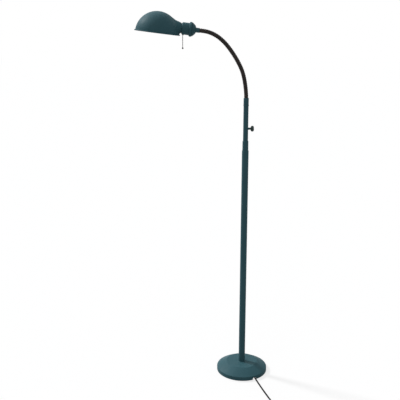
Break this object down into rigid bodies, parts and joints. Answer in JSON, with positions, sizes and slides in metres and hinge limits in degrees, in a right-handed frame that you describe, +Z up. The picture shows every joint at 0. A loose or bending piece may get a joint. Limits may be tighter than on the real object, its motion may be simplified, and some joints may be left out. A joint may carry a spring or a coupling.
{
  "type": "gooseneck reading floor lamp",
  "caption": "Floor lamp with a round weighted foot, a slim pole with a thumbscrew, a flexible ribbed neck and a domed metal shade with a pull chain.",
  "frame": {"origin": "on the floor under the pole's axis, in the middle of the foot pad's underside", "axes": "+Z up along the pole, the neck reaching towards -X and the thumbscrew towards +X; -Y is the side the lead leaves on"},
  "size_m": [0.7253, 0.4905, 1.5207],
  "materials": {
    "teal_paint": "satin",
    "neck_black": "satin",
    "shade_white": "matte",
    "knob_paint": "satin",
    "cast_iron": "rough",
    "pad_rubber": "matte",
    "plain_steel": "brushed",
    "brass": "satin",
    "socket_plastic": "matte",
    "bulb_glass": "frosted",
    "cap_aluminium": "satin",
    "cord_black": "satin"
  },
  "bodies": {
    "stand": {"base_cover": "teal_paint", "base_weight": "cast_iron", "base_pad": "pad_rubber", "base_nipple": "plain_steel", "base_washer": "plain_steel", "base_nut": "plain_steel", "cord_clamp": "socket_plastic", "pole_foot_bush": "plain_steel", "lower_pole": "teal_paint", "pole_coupling": "teal_paint", "upper_pole": "teal_paint", "tube_end_bush": "teal_paint", "screw_boss": "teal_paint", "inner_lead": "cord_black", "power_cord": "cord_black", "cord_coil": "cord_black", "coil_tie": "cord_black", "plug_lead": "cord_black", "plug_body": "cord_black", "plug_blades": "brass"},
    "guide": {"rod_guide": "brass"},
    "rod": {"inner_rod": "plain_steel", "neck_sleeve": "teal_paint"},
    "screw_pad": {"screw_tip": "brass"},
    "thumbscrew": {"thumbscrew_shank": "knob_paint", "thumbscrew_knob": "knob_paint"},
    "neck_01": {"gooseneck_01": "neck_black"},
    "neck_02": {"gooseneck_02": "neck_black"},
    "neck_03": {"gooseneck_03": "neck_black"},
    "neck_04": {"gooseneck_04": "neck_black"},
    "neck_05": {"gooseneck_05": "neck_black"},
    "neck_06": {"gooseneck_06": "neck_black"},
    "neck_07": {"gooseneck_07": "neck_black"},
    "neck_08": {"gooseneck_08": "neck_black"},
    "neck_09": {"gooseneck_09": "neck_black"},
    "neck_10": {"gooseneck_10": "neck_black"},
    "neck_11": {"gooseneck_11": "neck_black"},
    "neck_12": {"gooseneck_12": "neck_black"},
    "neck_13": {"gooseneck_13": "neck_black"},
    "neck_14": {"gooseneck_14": "neck_black"},
    "neck_15": {"gooseneck_15": "neck_black"},
    "holder": {"neck_collar": "teal_paint", "bell_cap": "teal_paint", "cup_flange": "teal_paint", "socket_cup": "teal_paint", "collar_nut": "plain_steel", "socket_body": "socket_plastic", "screw_shell": "brass", "centre_contact": "brass", "switch_block": "socket_plastic", "bulb_glass": "bulb_glass", "bulb_cap": "cap_aluminium", "chain_eyelet": "teal_paint"},
    "shade_part": {"shade": "teal_paint", "shade_ring": "plain_steel"},
    "pull": {"pull_stub": "plain_steel"},
    "link": {"pull_link": "plain_steel"},
    "chain": {"bead_chain": "plain_steel", "pull_ball": "plain_steel"}
  },
  "joints": [
    {"name": "height_slide", "type": "slide", "parent": "stand", "child": "guide", "axis": [0, 0, 1], "range_m": [0, 0.27]},
    {"name": "neck_swivel", "type": "hinge", "parent": "guide", "child": "rod", "pos_m": [0, 0, 1.16], "axis": [0, 0, 1], "range_deg": [-170, 170]},
    {"name": "thumbscrew_travel", "type": "slide", "parent": "stand", "child": "screw_pad", "axis": [1, 0, 0], "range_m": [0, 0.003]},
    {"name": "thumbscrew_turn", "type": "hinge", "parent": "screw_pad", "child": "thumbscrew", "pos_m": [0.02, 0, 1.0654], "axis": [1, 0, 0], "range_deg": [0, 1080]},
    {"name": "neck_curl_00", "type": "hinge", "parent": "rod", "child": "neck_01", "pos_m": [0, 0, 1.189], "axis": [0, -1, 0], "range_deg": [-4.34, 2]},
    {"name": "neck_curl_01", "type": "hinge", "parent": "neck_01", "child": "neck_02", "pos_m": [-0.00131, 0, 1.21201], "axis": [0, -1, 0], "range_deg": [-4.34, 2]},
    {"name": "neck_sway_02", "type": "hinge", "parent": "neck_02", "child": "neck_03", "pos_m": [-0.00392, 0, 1.23491], "axis": [0.99, 0, 0.1413], "range_deg": [-8, 8]},
    {"name": "neck_curl_03", "type": "hinge", "parent": "neck_03", "child": "neck_04", "pos_m": [-0.00782, 0, 1.25763], "axis": [0, -1, 0], "range_deg": [-4.34, 2]},
    {"name": "neck_curl_04", "type": "hinge", "parent": "neck_04", "child": "neck_05", "pos_m": [-0.013, 0, 1.28009], "axis": [0, -1, 0], "range_deg": [-8.98, 4.08]},
    {"name": "neck_sway_05", "type": "hinge", "parent": "neck_05", "child": "neck_06", "pos_m": [-0.02081, 0, 1.30178], "axis": [0.9191, 0, 0.3939], "range_deg": [-8, 8]},
    {"name": "neck_curl_06", "type": "hinge", "parent": "neck_06", "child": "neck_07", "pos_m": [-0.03113, 0, 1.32239], "axis": [0, -1, 0], "range_deg": [-4.34, 2]},
    {"name": "neck_curl_07", "type": "hinge", "parent": "neck_07", "child": "neck_08", "pos_m": [-0.04261, 0, 1.34238], "axis": [0, -1, 0], "range_deg": [-4.34, 2]},
    {"name": "neck_sway_08", "type": "hinge", "parent": "neck_08", "child": "neck_09", "pos_m": [-0.05519, 0, 1.36169], "axis": [0.8219, 0, 0.5696], "range_deg": [-8, 8]},
    {"name": "neck_curl_09", "type": "hinge", "parent": "neck_09", "child": "neck_10", "pos_m": [-0.06886, 0, 1.38026], "axis": [0, -1, 0], "range_deg": [-4.34, 2]},
    {"name": "neck_curl_10", "type": "hinge", "parent": "neck_10", "child": "neck_11", "pos_m": [-0.08355, 0, 1.39802], "axis": [0, -1, 0], "range_deg": [-9.03, 4.13]},
    {"name": "neck_sway_11", "type": "hinge", "parent": "neck_11", "child": "neck_12", "pos_m": [-0.10024, 0, 1.41391], "axis": [0.6455, 0, 0.7638], "range_deg": [-8, 8]},
    {"name": "neck_curl_12", "type": "hinge", "parent": "neck_12", "child": "neck_13", "pos_m": [-0.1187, 0, 1.42772], "axis": [0, -1, 0], "range_deg": [-13.2, 6]},
    {"name": "neck_curl_13", "type": "hinge", "parent": "neck_13", "child": "neck_14", "pos_m": [-0.13927, 0, 1.43811], "axis": [0, -1, 0], "range_deg": [-13.25, 6.05]},
    {"name": "neck_curl_14", "type": "hinge", "parent": "neck_14", "child": "neck_15", "pos_m": [-0.16134, 0, 1.44477], "axis": [0, -1, 0], "range_deg": [-13.25, 6.05]},
    {"name": "head_sway", "type": "hinge", "parent": "neck_15", "child": "holder", "pos_m": [-0.18423, 0, 1.4475], "axis": [0.1219, 0, 0.9925], "range_deg": [-8, 8]},
    {"name": "shade_turn", "type": "hinge", "parent": "holder", "child": "shade_part", "pos_m": [-0.25194, 0, 1.45606], "axis": [0.9921, 0, -0.1253], "range_deg": [-90, 90]},
    {"name": "chain_pull", "type": "slide", "parent": "holder", "child": "pull", "axis": [-0.1253, 0, -0.9921], "range_m": [0, 0.008], "stiffness_N_per_m": 300, "springref_m": -0.01},
    {"name": "link_slide", "type": "slide", "parent": "holder", "child": "link", "axis": [-0.9921, 0, 0.1253], "range_m": [0, 0.008]},
    {"name": "chain_swing", "type": "hinge", "parent": "pull", "child": "chain", "pos_m": [-0.25107, 0, 1.42863], "axis": [0, 1, 0], "range_deg": [-60, 35]}
  ],
  "couplings": [
    {"joint": "thumbscrew_turn", "follows": "thumbscrew_travel", "rad_per_m": 6283},
    {"joint": "neck_curl_00", "follows": "neck_curl_04", "ratio": 0.47794},
    {"joint": "neck_curl_01", "follows": "neck_curl_04", "ratio": 0.47794},
    {"joint": "neck_curl_03", "follows": "neck_curl_04", "ratio": 0.47794},
    {"joint": "neck_sway_05", "follows": "neck_sway_02", "ratio": 1},
    {"joint": "neck_curl_06", "follows": "neck_curl_04", "ratio": 0.47794},
    {"joint": "neck_curl_07", "follows": "neck_curl_04", "ratio": 0.47794},
    {"joint": "neck_sway_08", "follows": "neck_sway_02", "ratio": 1},
    {"joint": "neck_curl_09", "follows": "neck_curl_12", "ratio": 0.325},
    {"joint": "neck_curl_10", "follows": "neck_curl_12", "ratio": 0.68},
    {"joint": "neck_sway_11", "follows": "neck_sway_02", "ratio": 1},
    {"joint": "neck_curl_13", "follows": "neck_curl_12", "ratio": 1},
    {"joint": "neck_curl_14", "follows": "neck_curl_12", "ratio": 1},
    {"joint": "head_sway", "follows": "neck_sway_02", "ratio": 1},
    {"joint": "link_slide", "follows": "chain_pull", "ratio": 1}
  ]
}
